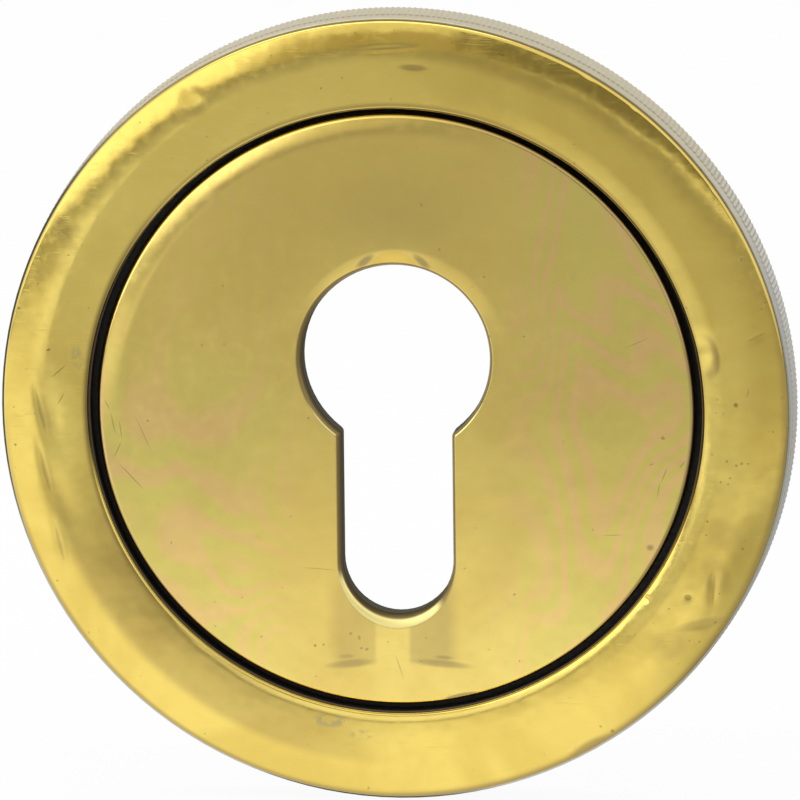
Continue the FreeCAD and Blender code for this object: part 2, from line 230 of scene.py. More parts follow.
disc = {
    "radius": 28.37, "front": 5.75, "sheet": 0.9, "skirt": 2.1,
    "edgeRound": 0.5, "bendRound": 0.2,
    # The roll along the keyhole: its depth and full width, the share of that width that it takes
    # all round, and what is added to the share at the left and at the slot's end
    "keyRound": 0.8, "keyWide": 1.4, "rollSides": 0.28, "rollLeft": 0.18, "rollEnd": 0.72,
    # The outer edge is worn down at the upper left: how deep, how wide, the power of its curve, and
    # the direction in radians with its gain and shift
    "edgeFall": 0.26, "edgeWidth": 2.2, "edgeCurve": 1.5, "edgeSide": (radians(128), 2.2, -1.0),
    # The face dips toward the upper half of the keyhole's round: how deep, how wide at the left and
    # at the right, the power of its curve, and how fast it grows upward and to the right
    "dish": 0.16, "dishWidth": (1.4, 1.85), "dishCurve": 1.3, "dishUp": 1.6, "dishRight": 0.25,
    "fadeWidth": 3.0,   # the dips, hollows and waves fade out over this width along the outer edge
    "thinnest": 0.03,   # what they leave of the sheet at the least
    "faceRows": 70, "rollRows": 12, "underRows": 10,
    # Hollows of the sheet beside the keyhole, where pressing it has drawn the face back
    "hollows": [
        {"at": (-5.6, -21.0), "size": (2.6, 4.2), "turn": 12, "depth": 0.07},
        {"at": (5.4, -20.6), "size": (2.6, 4.4), "turn": -12, "depth": 0.06},
        {"at": (-0.1, 13.6), "size": (2.4, 1.15), "turn": 0, "depth": 0.13},
        {"at": (-9.6, 8.0), "size": (2.6, 5.0), "turn": -25, "depth": 0.03},
        {"at": (9.6, 8.0), "size": (2.6, 5.0), "turn": 25, "depth": 0.03},
    ],
    # Slow unevenness of the face: height, turns of the wave across 10 mm, direction in degrees
    "waves": [(0.010, 0.31, 25), (0.008, 0.47, 100), (0.005, 0.83, 160)],
}
keyhole = {
    "radius": 8.9, "slotHalf": 5.25, "height": 33.45, "rise": 4.8, "corner": 0.6, "leastCorner": 0.03,
    # Points along the round, the left corner, the slot, its round end, the slot, the right corner
    "counts": (400, 16, 150, 160, 150, 16),
}


def keyholeOutline(grow):
    # The outline moved outward by grow, anticlockwise, with the same number of points in each
    # part at every grow
    radius, half = keyhole["radius"] + grow, keyhole["slotHalf"] + grow
    corner = max(keyhole["corner"] - grow, keyhole["leastCorner"])
    rise = keyhole["rise"]
    bottom = rise - (keyhole["height"] - keyhole["radius"] - keyhole["slotHalf"])
    cornerX = half + corner
    cornerY = rise - ((radius + corner) ** 2 - cornerX ** 2) ** 0.5
    turn = np.degrees(np.arctan2(cornerY - rise, cornerX))
    arch, first, left, end, right, last = keyhole["counts"]
    parts = [
        arcPoints((0, rise), radius, turn, 180 - turn, arch),
        arcPoints((-cornerX, cornerY), corner, -turn, 0, first),
        linePoints((-half, cornerY), (-half, bottom), left),
        arcPoints((0, bottom), half, 180, 360, end),
        linePoints((half, bottom), (half, cornerY), right),
        arcPoints((cornerX, cornerY), corner, 180, 180 + turn, last),
    ]
    return np.concatenate(parts)


def makeDisc():
    # Rows of points round the keyhole: from the skirt's end over the bend and across the face,
    # hole + (circle - hole) * t, down the rolled edge, and back over the underside. The face
    # drops by depth * exp(-(u/width)^2 - (v/height)^2) in each hollow, by
    # dish * (1 - distance from the round / width)^curve above the round, by
    # fall * (1 - distance from the edge / width)^curve at the edge's upper left, and
    # by height * (1 + sin(2 pi * turns * distance along its direction / 10)) in each wave
    hole = keyholeOutline(0.0)
    angle = np.arctan2(hole[:, 1], hole[:, 0])
    circle = np.stack([np.cos(angle), np.sin(angle)], -1)
    front, sheet = disc["front"], disc["sheet"]
    back = front - sheet
    end = front - disc["skirt"]
    rim, edge, bend = disc["radius"], disc["edgeRound"], disc["bendRound"]
    skirtBore = rim - sheet
    key, wide = disc["keyRound"], disc["keyWide"]
    # The roll's share of its full width: wider at the left, and widest along the slot's end
    counts = keyhole["counts"]
    slotEnd = slice(sum(counts[:3]), sum(counts[:4]))
    leftShare = disc["rollLeft"] * np.clip(-hole[:, 0] / keyhole["radius"], 0, 1)
    share = disc["rollSides"] + leftShare
    share[slotEnd] += (disc["rollEnd"] - leftShare[slotEnd]) * np.sin(np.linspace(0, pi, counts[3])) ** 2

    def rolledOut(grow):
        return hole + (keyholeOutline(grow) - hole) * share[:, None]

    inside = rolledOut(wide)
    # Each row has its points, its height, and how far it lies down the roll, from 0 to 1
    rows = [(circle * r, h, 0.0) for r, h in linePoints((rim, end), (rim, front - edge), 3)]
    rows += [(circle * r, h, 0.0) for r, h in arcPoints((rim - edge, front - edge), edge, 0, 90, 9)]
    for t in 0.5 + 0.5 * np.cos(np.linspace(0, pi, disc["faceRows"])):
        rows.append((inside + (circle * (rim - edge) - inside) * t, front, 0.0))
    for a in np.radians(np.linspace(0, 90, disc["rollRows"] + 1)[1:]):
        rows.append((rolledOut(wide * (1 - sin(a))), front - key * (1 - cos(a)), sin(a)))
    rows.append((hole, back, 1.0))
    for t in np.linspace(0.02, 1, disc["underRows"], endpoint=False):
        rows.append((hole + (circle * (skirtBore - bend) - hole) * t, back, 0.0))
    rows += [(circle * r, h, 0.0) for r, h in arcPoints((skirtBore - bend, back - bend), bend, 90, 0, 4)]
    rows += [(circle * skirtBore, h, 0.0) for h in (back - bend, end)]
    flat, heights, rolled = (np.array(values) for values in zip(*rows))
    x, z = flat[..., 0].T, flat[..., 1].T
    height = heights + 0 * x
    outside = height > back + 0.01
    drop = sum(bump(x, z, spot) for spot in disc["hollows"])
    reach = np.hypot(x, z - keyhole["rise"])
    narrowest, widest = disc["dishWidth"]
    width = narrowest + (widest - narrowest) * (0.5 + 0.5 * x / reach)
    above = np.clip(((z - keyhole["rise"]) * disc["dishUp"] + x * disc["dishRight"]) / reach, 0, 1)
    drop = drop + disc["dish"] * slope(reach - keyhole["radius"], width, disc["dishCurve"]) * above
    for size, turns, direction in disc["waves"]:
        along = x * cos(radians(direction)) + z * sin(radians(direction))
        drop = drop + size * (1 + np.sin(2 * pi * turns * along / 10))
    inward = rim - np.hypot(x, z)
    worn = slope(inward, disc["edgeWidth"], disc["edgeCurve"]) * toward(np.arctan2(z, x), *disc["edgeSide"])
    drop = drop * np.clip(inward / disc["fadeWidth"], 0, 1) + disc["edgeFall"] * worn
    height = np.where(outside, np.maximum(height - drop, back + disc["thinnest"]), height)
    piece = loopMesh("brass_disc", place(x, height, z)[:, ::-1])
    saveValues(piece, "rolled", (rolled + 0 * x)[:, ::-1])
    # How far each part of the keyhole's edge faces up, where the metal lies below it; the material paints a
    # highlight there
    along = np.roll(hole, -1, 0) - np.roll(hole, 1, 0)
    upward = np.clip(along[:, :1] / np.hypot(*along.T)[:, None], 0, 1)
    saveValues(piece, "upward", upward + 0 * x)
    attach(piece, "root")
    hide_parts("keyhole_disc")
    return piece


brassRing = makeRing()
print("ring made", len(brassRing.data.polygons))
brassDisc = makeDisc()
print("disc made", len(brassDisc.data.polygons))


# Materials: the nodes' short words first, then one look for each piece

def addNode(tree, kind, values=(), **settings):
    # A node with its inputs given as {name or number: value or another node's output}
    item = tree.nodes.new(kind)
    for name, value in settings.items():
        setattr(item, name, value)
    for name, value in dict(values).items():
        if isinstance(value, bpy.types.NodeSocket):
            tree.links.new(value, item.inputs[name])
        else:
            item.inputs[name].default_value = value
    return item


def newMaterial(name):
    material = bpy.data.materials.new(name)
    material.use_nodes = True
    tree = material.node_tree
    tree.nodes.clear()
    shader = addNode(tree, "ShaderNodeBsdfPrincipled")
    addNode(tree, "ShaderNodeOutputMaterial", {"Surface": shader.outputs[0]})
    return material, tree, shader


class Paint:
    # Small words for one material's nodes. Places are millimetres in the piece's own frame.
    def __init__(self, name):
        self.material, self.tree, self.shader = newMaterial(name)
        where = addNode(self.tree, "ShaderNodeTexCoord").outputs["Object"]
        self.where = addNode(self.tree, "ShaderNodeVectorMath", {0: where, "Scale": 1000.0},
                             operation="SCALE").outputs[0]
        split = addNode(self.tree, "ShaderNodeSeparateXYZ", {0: self.where})
        self.x, self.y, self.z = split.outputs
        self.radius = self.math("SQRT", self.math("ADD", self.math("MULTIPLY", self.x, self.x),
                                                  self.math("MULTIPLY", self.z, self.z)))

    def math(self, kind, first, second=0.0, third=0.0, clamp=False):
        item = addNode(self.tree, "ShaderNodeMath", {0: first, 1: second, 2: third}, operation=kind)
        item.use_clamp = clamp
        return item.outputs[0]

    def step(self, value, start, end):
        # 0 at start and 1 at end, with a soft turn at both
        item = addNode(self.tree, "ShaderNodeMapRange", {0: value, 1: start, 2: end},
                       interpolation_type="SMOOTHSTEP")
        return item.outputs[0]

    def times(self, *values):
        result = values[0]
        for value in values[1:]:
            result = self.math("MULTIPLY", result, value)
        return result

    def rest(self, value):
        return self.math("SUBTRACT", 1.0, value)

    def most(self, *values):
        result = values[0]
        for value in values[1:]:
            result = self.math("MAXIMUM", result, value)
        return result

    def noise(self, scale, detail=3.0, rough=0.5, stretch=(1, 1, 1), turn=0, warp=0.0, seed=0.0):
        # Noise with scale lumps to a millimetre, stretched along axes turned in the face's plane
        moved = addNode(self.tree, "ShaderNodeMapping",
                        {0: self.where, 1: (seed, seed * 2, seed * 3), 2: (0, radians(turn), 0), 3: stretch})
        return addNode(self.tree, "ShaderNodeTexNoise",
                       {"Vector": moved.outputs[0], "Scale": scale, "Detail": detail,
                        "Roughness": rough, "Distortion": warp}).outputs[0]

    def spot(self, at, size, turn=0, soft=1.0):
        # 1 in the middle of an oval and 0 at its edge, where size is its half width and height
        moved = addNode(self.tree, "ShaderNodeMapping",
                        {0: self.where, 1: (at[0], 0, at[1]), 2: (0, radians(-turn), 0),
                         3: (size[0], 1e6, size[1])}, vector_type="TEXTURE")
        ball = addNode(self.tree, "ShaderNodeTexGradient", {0: moved.outputs[0]},
                       gradient_type="SPHERICAL").outputs[1]
        return self.step(ball, 0.0, soft)

    def panel(self, sides, soft):
        # 1 inside a rectangle of the face: left, right, low and high sides, and half of each fade's width
        left, right, low, high = sides
        a, b, c, d = soft
        return self.times(self.step(self.x, left - a, left + a), self.step(self.x, right + b, right - b),
                          self.step(self.z, low - c, low + c), self.step(self.z, high + d, high - d))

    def sector(self, middle, reach, soft=20):
        # 1 within reach degrees of a direction from the cover's middle, fading over soft degrees
        a = radians(middle)
        along = self.math("ADD", self.math("MULTIPLY", self.x, cos(a)), self.math("MULTIPLY", self.z, sin(a)))
        share = self.math("DIVIDE", along, self.math("MAXIMUM", self.radius, 0.01))
        return self.step(share, cos(radians(reach + soft)), cos(radians(max(reach - soft, 0))))

    def band(self, start, end, sector=None, strength=1.0):
        # Full past the radius end and none before start, all round or within a sector
        band = self.times(self.step(self.radius, start, end), strength)
        return self.times(band, self.sector(*sector)) if sector else band

    def mix(self, share, first, second, kind="MIX"):
        item = addNode(self.tree, "ShaderNodeMix", data_type="RGBA", blend_type=kind)
        for socket, value in zip((item.inputs[0], item.inputs[6], item.inputs[7]), (share, first, second)):
            if isinstance(value, bpy.types.NodeSocket):
                self.tree.links.new(value, socket)
            elif isinstance(value, tuple):
                socket.default_value = (*value, 1)
            else:
                socket.default_value = value
        return item.outputs[2]

    def finish(self, colour, roughness, height, lift, metallic=1.0):
        # lift is the bump's depth in millimetres for a height of 1
        relief = addNode(self.tree, "ShaderNodeBump",
                         {"Strength": 1.0, "Distance": lift * mm, "Height": height})
        for name, value in (("Base Color", colour), ("Roughness", roughness), ("Metallic", metallic)):
            socket = self.shader.inputs[name]
            if isinstance(value, bpy.types.NodeSocket):
                self.tree.links.new(value, socket)
            else:
                socket.default_value = value
        self.tree.links.new(relief.outputs[0], self.shader.inputs["Normal"])
        return self.material


def hairlines(paint, turns, seed):
    # Hair scratches in a few directions: thin ridges of stretched noise, broken up by a second one
    lines = []
    for index, turn in enumerate(turns):
        ridge = paint.noise(1.0, 1.0, 0.4, (0.12, 1, 5.0), turn, 0.15, seed + index * 3.7)
        thin = paint.step(paint.math("ABSOLUTE", paint.math("SUBTRACT", ridge, 0.5)), 0.008, 0.0)
        some = paint.step(paint.noise(0.35, 1.0, 0.5, seed=seed + index * 5.1), 0.56, 0.66)
        lines.append(paint.times(thin, some))
    return paint.most(*lines)


ringLook = {
    "light": (0.87, 0.665, 0.16), "dark": (0.76, 0.56, 0.125),
    # tarnish darkens stains, pits, specks and scratches, and is also the painted shade of creases, dents, the
    # dimple, the outer bands and the hole's edge
    "tarnishAndShade": (0.36, 0.26, 0.09), "grimeAndShade": (0.07, 0.05, 0.016), "stain": (0.42, 0.40, 0.22),
    "roughness": 0.10,
    # Brown marks, stains and painted shade in the creases and beside the dents: middle, half size, turn,
    # strength
    "stainsAndShade": [((2.1, 32.85), (1.75, 0.42), -3, 0.6), ((-0.5, 34.7), (2.4, 0.16), 4, 0.35),
                ((18.2, -32.2), (3.0, 0.9), 30, 0.7), ((30.3, -15.4), (1.7, 2.6), 20, 0.3),
                ((28.8, -20.2), (3.0, 0.7), 12, 0.4), ((25.8, -22.2), (2.6, 1.8), 30, 0.3),
                ((31.0, -11.5), (2.4, 2.0), 0, 0.25), ((-31.4, 17.0), (1.2, 2.4), 25, 0.35),
                ((27.6, -17.6), (0.5, 0.4), 0, 0.8), ((-32.8, 5.5), (0.3, 0.14), 20, 0.9),
                ((32.3, 0.9), (0.3, 0.3), 0, 0.8), ((-35.6, 9.4), (0.2, 0.14), 0, 0.9),
                ((-36.1, -3.7), (0.16, 0.16), 0, 0.9), ((20.3, -30.6), (0.25, 0.25), 0, 0.9),
                ((-33.6, -0.5), (0.26, 2.6), 12, 0.5), ((-33.2, -0.7), (0.6, 2.6), 12, 0.2),
                ((-33.3, -6.1), (0.26, 2.7), 13, 0.5), ((-33.0, -6.3), (0.6, 2.7), 13, 0.2),
                ((-32.0, -13.1), (0.24, 2.3), 13, 0.45), ((-31.7, -13.2), (0.6, 2.4), 13, 0.2),
                ((-31.85, 3.45), (1.15, 0.12), 41, 0.5), ((-31.7, 0.8), (0.8, 0.1), 60, 0.5),
                ((34.3, 7.4), (1.2, 0.22), 27, 0.35), ((33.45, 2.05), (0.1, 0.6), -15, 0.4),
                ((30.05, -16.75), (0.2, 1.8), -5, 0.45)],
    # Small dark pits of the right side: middle, half size
    "pits": [((30.5, 1.4), 0.17), ((30.4, 0.1), 0.15), ((31.1, 0.0), 0.1), ((30.0, -3.9), 0.17),
             ((31.4, -4.5), 0.16), ((32.3, -4.9), 0.18), ((32.8, -4.7), 0.2), ((33.4, -4.7), 0.14),
             ((31.7, -6.1), 0.15),
             ((30.8, -6.5), 0.15), ((31.5, -6.7), 0.13), ((29.5, -10.3), 0.18), ((29.4, -11.6), 0.13),
             ((32.8, -12.9), 0.17)],
    # The dimple at the right: its painted shadow at the outer edge lies between these two ovals, and its
    # middle is a painted highlight
    "dimple": [((29.7, 5.5), (1.25, 2.5), 10), ((29.0, 5.7), (1.25, 2.1), 8), ((28.95, 5.9), (0.9, 1.6), 8)],
    # Painted highlights at the left and the right: middle, half size, turn, strength
    "paintedHighlights": [((-31.6, -2.0), (2.8, 9.0), 8, 0.85), ((31.6, 1.0), (3.4, 15.0), 0, 0.5)],
    # worn is the colour of the painted highlights, and shade of the painted shade
    "worn": (0.97, 0.76, 0.20), "shade": (0.16, 0.11, 0.04),
    "stained": [((-30.1, 4.8), (0.7, 1.5), 10, 0.4), ((-6.4, -29.9), (2.0, 0.8), 0, 0.6),
                ((-3.5, -31.2), (1.4, 0.6), 0, 0.5)],
    # Bands along the outside: how far in each starts, and is full, its sector, its strength.
    # The first is a painted highlight at the upper left. The others are painted shade: a line along the
    # outer edge, bands at the right and below, and a darker inner part at the lower left
    "highlightBand": (2.0, 3.0, (130, 34, 26), 0.65),
    "outerShadeBands": [(0.09, 0.01, None, 0.75), (0.9, 0.0, (318, 50, 20), 0.7),
                   (0.6, 0.1, (255, 62, 20), 0.75), (2.7, 3.8, (230, 28, 16), 0.48)],
    # Bands along the hole, measured out from it. Painted shade: its edge is darkened, but for the unshaded
    # sector below, has a dark line except above, and darkens slowly at the left
    "shadedEdge": (0.5, 0.05, None, 0.55), "darkEdge": (0.07, 0.02, None, 0.9),
    "unshadedSector": (266, 74, 14), "topSector": (90, 62, 14),
    "slowEdge": (0.75, 0.05, (182, 34, 16), 0.8),
    # Painted highlights along the edge: a line at the lower left, a strip below, and a band at the right
    # that begins a little way out
    "highlightEdges": [(0.26, 0.2, (238, 46, 8), 1.0), (0.8, 0.5, (274, 26, 14), 0.8)],
    "highlightRight": (2.1, 1.2, (4, 48, 16), 0.5), "highlightFrom": (0.1, 0.5),
    # How strongly the small marks show: the dimple's painted shadow and highlight, the pits, specks and
    # scratches
    "crescent": 0.75, "middle": 0.5, "pitted": 0.55, "specked": 0.6, "scratched": 0.12,
}
discLook = {
    "light": (0.86, 0.67, 0.185), "dark": (0.78, 0.58, 0.155),
    # The tarnish colour darkens real tarnish and also paints shade; grime, edge and brown are painted shade,
    # cream and glow painted highlight, and moon a painted reflection
    "tarnishAndShade": (0.33, 0.25, 0.11), "grimeAndShade": (0.05, 0.035, 0.012),
    "pink": (0.88, 0.55, 0.28), "green": (0.69, 0.65, 0.17), "edge": (0.30, 0.22, 0.13),
    "brown": (0.22, 0.16, 0.07), "cream": (1.0, 0.87, 0.34), "glow": (0.95, 0.73, 0.20),
    "moon": (0.74, 0.53, 0.12), "roughness": 0.15,
    # Brown marks, stains and painted shade above and below the keyhole: middle, half size, turn, strength,
    # softness
    "stainsAndShade": [((-4.5, -24.5), (3.0, 0.55), 6, 0.6, 0.7), ((4.1, -24.4), (3.7, 0.5), -5, 0.6, 0.7),
                ((4.3, -23.8), (1.2, 0.25), -3, 0.5, 0.7), ((-4.9, -23.8), (1.0, 0.3), 3, 0.4, 0.7),
                ((-2.75, 14.15), (1.35, 0.5), 36, 0.75, 0.7), ((2.6, 14.15), (1.35, 0.5), -40, 0.75, 0.7),
                ((24.0, -13.0), (0.5, 0.42), 0, 0.7, 0.8), ((5.9, -27.45), (2.0, 0.3), 12, 0.8, 0.5),
                ((-4.5, -21.6), (0.2, 0.2), 0, 0.6, 0.6), ((-3.7, -22.0), (0.18, 0.3), 10, 0.6, 0.6),
                ((-3.5, -23.0), (0.18, 0.18), 0, 0.6, 0.6), ((-3.0, -23.1), (0.26, 0.2), 30, 0.6, 0.6),
                ((-7.9, -22.8), (0.2, 0.2), 0, 0.7, 0.6), ((-7.1, -22.7), (0.17, 0.17), 0, 0.6, 0.6),
                ((0.0, 18.5), (12.0, 6.5), 0, 0.16, 1.0)],
    # Painted shade in darker patches left and right below the slot: left, right, low and high sides, half of
    # each one's fade, strength
    "shadePatches": [((-6.2, -2.15, -24.3, -16.5), (0.9, 0.25, 0.5, 2.5), 0.3),
                ((1.1, 5.3, -24.3, -16.5), (0.3, 0.9, 0.5, 2.5), 0.4)],
    # A painted reflection above the keyhole's round: middle, half size, turn
    "moonReflection": ((-0.05, 13.3), (2.5, 1.95), 0),
    # Hair scratches: middle, half length and half width, turn
    "scratches": [((-25.2, -6.7), (2.05, 0.09), -47), ((-27.4, 0.15), (0.66, 0.09), -61),
                  ((-26.85, -1.65), (1.3, 0.09), -79), ((-26.15, -2.2), (1.05, 0.08), -82),
                  ((-26.45, -4.15), (1.1, 0.08), 65), ((25.4, -6.0), (1.0, 0.08), 68),
                  ((24.85, -7.4), (0.9, 0.08), 80), ((27.1, -5.0), (0.55, 0.09), 53),
                  ((24.2, -5.0), (0.32, 0.08), 20),
                  ((0.1, -24.7), (1.4, 0.07), -72), ((-24.0, -2.6), (2.2, 0.05), -66),
                  ((20.4, -11.85), (1.1, 0.05), 2), ((-7.4, -15.4), (2.1, 0.05), -4),
                  ((22.9, 6.6), (1.4, 0.05), 24)],
}
rimLook = {
    "plate": (0.50, 0.50, 0.45), "beige": (0.47, 0.41, 0.25),
    "warm": (0.56, 0.46, 0.31), "green": (0.36, 0.42, 0.28),
    # The grime and lip colours paint shade in the gap and darken the joint, and rubbed is a painted highlight
    "grimeAndShade": (0.010, 0.008, 0.006), "lip": (0.12, 0.09, 0.05), "paintedBright": (0.95, 0.93, 0.84),
    "roughness": 0.34,
}
plateLook = {
    # The wall and grime colours are painted shade
    "wall": (0.105, 0.098, 0.075), "metal": (0.36, 0.365, 0.355), "dull": (0.25, 0.25, 0.24),
    "grimeAndShade": (0.012, 0.009, 0.006),
    "roughness": 0.42,
}


def ringMaterial():
    look, paint = ringLook, Paint("ring_brass_look")
    bore, outside = ring["bore"], ring["outside"]

    def alongOutside(start, end, sector, strength):
        return paint.band(outside - start, outside - end, sector, strength)

    def alongHole(start, end, sector, strength):
        return paint.band(bore + start, bore + end, sector, strength)

    cloud = paint.noise(0.09, 3.0, 0.55, warp=0.6)
    fine = paint.noise(0.9, 4.0, 0.6, seed=7)
    colour = paint.mix(paint.step(cloud, 0.35, 0.65), look["light"], look["dark"])
    # Painted shade: darker toward the upper right, and lighter at the upper left
    dull = paint.times(paint.step(paint.z, -12, 30), paint.step(paint.x, -28, 12), 0.5)
    colour = paint.mix(dull, colour, look["dark"])
    # Painted highlights: a band at the upper left, and broad patches at the left and the right
    colour = paint.mix(alongOutside(*look["highlightBand"]), colour, look["worn"])
    for at, size, turn, strength in look["paintedHighlights"]:
        colour = paint.mix(paint.times(paint.spot(at, size, turn, 0.8), strength), colour, look["worn"])
    # Brown marks: stains and painted shade
    for at, size, turn, strength in look["stainsAndShade"]:
        colour = paint.mix(paint.times(paint.spot(at, size, turn, 0.6), strength), colour, look["tarnishAndShade"])
    for at, size, turn, strength in look["stained"]:
        blot = paint.times(paint.spot(at, size, turn, 0.5), paint.step(fine, 0.42, 0.56), strength)
        colour = paint.mix(blot, colour, look["stain"])
    # The dimple: painted shadow round its edge, and a painted highlight in its middle
    outer, inner, middle = (paint.spot(at, size, turn, 0.35) for at, size, turn in look["dimple"])
    crescent = paint.times(outer, paint.rest(inner), look["crescent"])
    colour = paint.mix(crescent, colour, look["tarnishAndShade"])
    colour = paint.mix(paint.times(middle, look["middle"]), colour, look["worn"])
    pits = paint.most(*(paint.spot(at, (size, size), 0, 0.5) for at, size in look["pits"]))
    colour = paint.mix(paint.times(pits, look["pitted"]), colour, look["tarnishAndShade"])
    specks = paint.step(paint.noise(2.1, 1.0, 0.4, seed=3), 0.755, 0.79)
    colour = paint.mix(paint.times(specks, look["specked"]), colour, look["tarnishAndShade"])
    # Painted shade in bands along the outside
    for band in look["outerShadeBands"]:
        colour = paint.mix(alongOutside(*band), colour, look["tarnishAndShade"])
    # Painted shade and painted highlights along the edge round the hole
    shadedAround = paint.rest(paint.sector(*look["unshadedSector"]))
    colour = paint.mix(paint.times(alongHole(*look["shadedEdge"]), shadedAround), colour, look["tarnishAndShade"])
    dark = paint.times(alongHole(*look["darkEdge"]), shadedAround, paint.rest(paint.sector(*look["topSector"])))
    colour = paint.mix(dark, colour, look["shade"])
    colour = paint.mix(alongHole(*look["slowEdge"]), colour, look["shade"])
    # Painted highlights along the hole's edge
    begin, full = look["highlightFrom"]
    right = paint.times(alongHole(*look["highlightRight"]), paint.step(paint.radius, bore + begin, bore + full))
    paintedBright = paint.most(right, *(alongHole(*band) for band in look["highlightEdges"]))
    colour = paint.mix(paintedBright, colour, look["worn"])
    lines = hairlines(paint, (20, 75, 140), 11)
    colour = paint.mix(paint.times(lines, look["scratched"]), colour, look["tarnishAndShade"])
    rough = paint.math("ADD", look["roughness"], paint.times(paint.step(fine, 0.4, 0.8), 0.10))
    height = paint.math("ADD", paint.noise(0.22, 2.0, 0.5, seed=5), paint.times(fine, 0.03))
    height = paint.math("SUBTRACT", height, paint.times(lines, 0.02))
    return paint.finish(colour, rough, height, 0.05)


def discMaterial():
    look, paint = discLook, Paint("disc_brass_look")
    cloud = paint.noise(0.07, 3.0, 0.5, warp=0.5, seed=2)
    fine = paint.noise(0.9, 4.0, 0.6, seed=9)
    colour = paint.mix(paint.step(cloud, 0.35, 0.65), look["light"], look["dark"])
    # Painted shade: darker toward the top
    colour = paint.mix(paint.times(paint.step(paint.z, -16, 22), 0.5), colour, look["dark"])
    # Faint pink and green bands of tarnish, left and right of the keyhole
    bands = paint.noise(0.08, 1.5, 0.4, (1, 1, 0.55), 15, 0.5, 4)
    turns = paint.math("SINE", paint.times(bands, 72.0))
    faint = paint.times(paint.step(paint.z, -4, 10), paint.step(paint.x, 2, -6), 0.75)
    sides = paint.times(paint.step(paint.math("ABSOLUTE", paint.x), 7.0, 17.0), paint.rest(faint))
    colour = paint.mix(paint.times(paint.step(turns, -0.9, 1.0), sides, 0.42), colour, look["pink"])
    colour = paint.mix(paint.times(paint.step(turns, 0.9, -1.0), sides, 0.42), colour, look["green"])
    # Painted shade in patches below the slot
    for sides, soft, strength in look["shadePatches"]:
        blot = paint.panel(sides, soft)
        colour = paint.mix(paint.times(blot, strength), colour, look["tarnishAndShade"])
    # Brown marks: stains and painted shade
    for at, size, turn, strength, soft in look["stainsAndShade"]:
        blot = paint.spot(at, size, turn, soft)
        colour = paint.mix(paint.times(blot, strength), colour, look["tarnishAndShade"])
    # A painted reflection: a half-moon of even colour above the keyhole's round
    moon = paint.spot(*look["moonReflection"], 0.12)
    colour = paint.mix(moon, colour, look["moon"])
    specks = paint.step(paint.noise(1.9, 1.0, 0.4, seed=6), 0.755, 0.79)
    colour = paint.mix(paint.times(specks, 0.6), colour, look["tarnishAndShade"])
    # Painted shade on the rolled edge, brown and then black toward the keyhole, and a painted highlight where
    # it faces up
    rolled = addNode(paint.tree, "ShaderNodeAttribute", attribute_name="rolled").outputs["Fac"]
    upward = addNode(paint.tree, "ShaderNodeAttribute", attribute_name="upward").outputs["Fac"]
    low = paint.step(paint.z, -7.5, -9.5)
    lean = paint.math("SUBTRACT", upward, paint.times(paint.x, low, 0.05))
    colour = paint.mix(paint.times(paint.step(rolled, 0.0, 0.35), 0.9), colour, look["brown"])
    depth = paint.math("DIVIDE", rolled, paint.math("ADD", paint.times(low, 0.34), 0.36))
    bright = paint.times(paint.step(rolled, 0.02, 0.14), paint.step(lean, 0.42, 0.66),
                         paint.step(depth, 1.05, 0.85))
    colour = paint.mix(bright, colour, look["cream"])
    # Painted shade: black deep in the roll
    worn = paint.step(rolled, 0.68, 0.86)
    colour = paint.mix(paint.times(worn, 0.85), colour, look["grimeAndShade"])
    # Painted shade on the outer edge at the left and right, and a painted highlight at the upper left
    bend = paint.step(paint.radius, disc["radius"] - 0.6, disc["radius"] - 0.15)
    sides = paint.most(paint.sector(188, 42, 18), paint.sector(15, 62, 18))
    colour = paint.mix(paint.times(bend, sides, 0.8), colour, look["edge"])
    glow = paint.band(disc["radius"] - 1.7, disc["radius"] - 0.8, (128, 38, 18), 0.95)
    colour = paint.mix(glow, colour, look["glow"])
    # Painted shade: the skirt in the gap is painted dark
    edge = paint.step(paint.y, 0.75 - disc["front"], 1.1 - disc["front"])
    outside = paint.step(paint.radius, disc["radius"] - 0.6, disc["radius"] - 0.2)
    colour = paint.mix(paint.times(edge, outside), colour, look["grimeAndShade"])
    lines = hairlines(paint, (15, 60, 125), 21)
    lines = paint.times(lines, 0.2)
    for at, size, turn in look["scratches"]:
        lines = paint.most(lines, paint.spot(at, size, turn, 0.6))
    colour = paint.mix(paint.times(lines, 0.5), colour, look["tarnishAndShade"])
    rough = paint.math("ADD", look["roughness"], paint.times(paint.step(fine, 0.4, 0.8), 0.09))
    rough = paint.math("ADD", rough, paint.times(paint.step(rolled, 0.02, 0.2), 0.2))
    height = paint.math("ADD", paint.noise(0.2, 2.0, 0.5, seed=8), paint.times(fine, 0.03))
    height = paint.math("SUBTRACT", height, paint.times(lines, 0.02))
    # Painted shade: the deepest part of the roll inside the keyhole is dark and has no shine
    shine = paint.rest(paint.step(rolled, 0.8, 0.97))
    paint.tree.links.new(paint.times(shine, 0.5), paint.shader.inputs["Specular IOR Level"])
    return paint.finish(colour, rough, height, 0.035, shine)


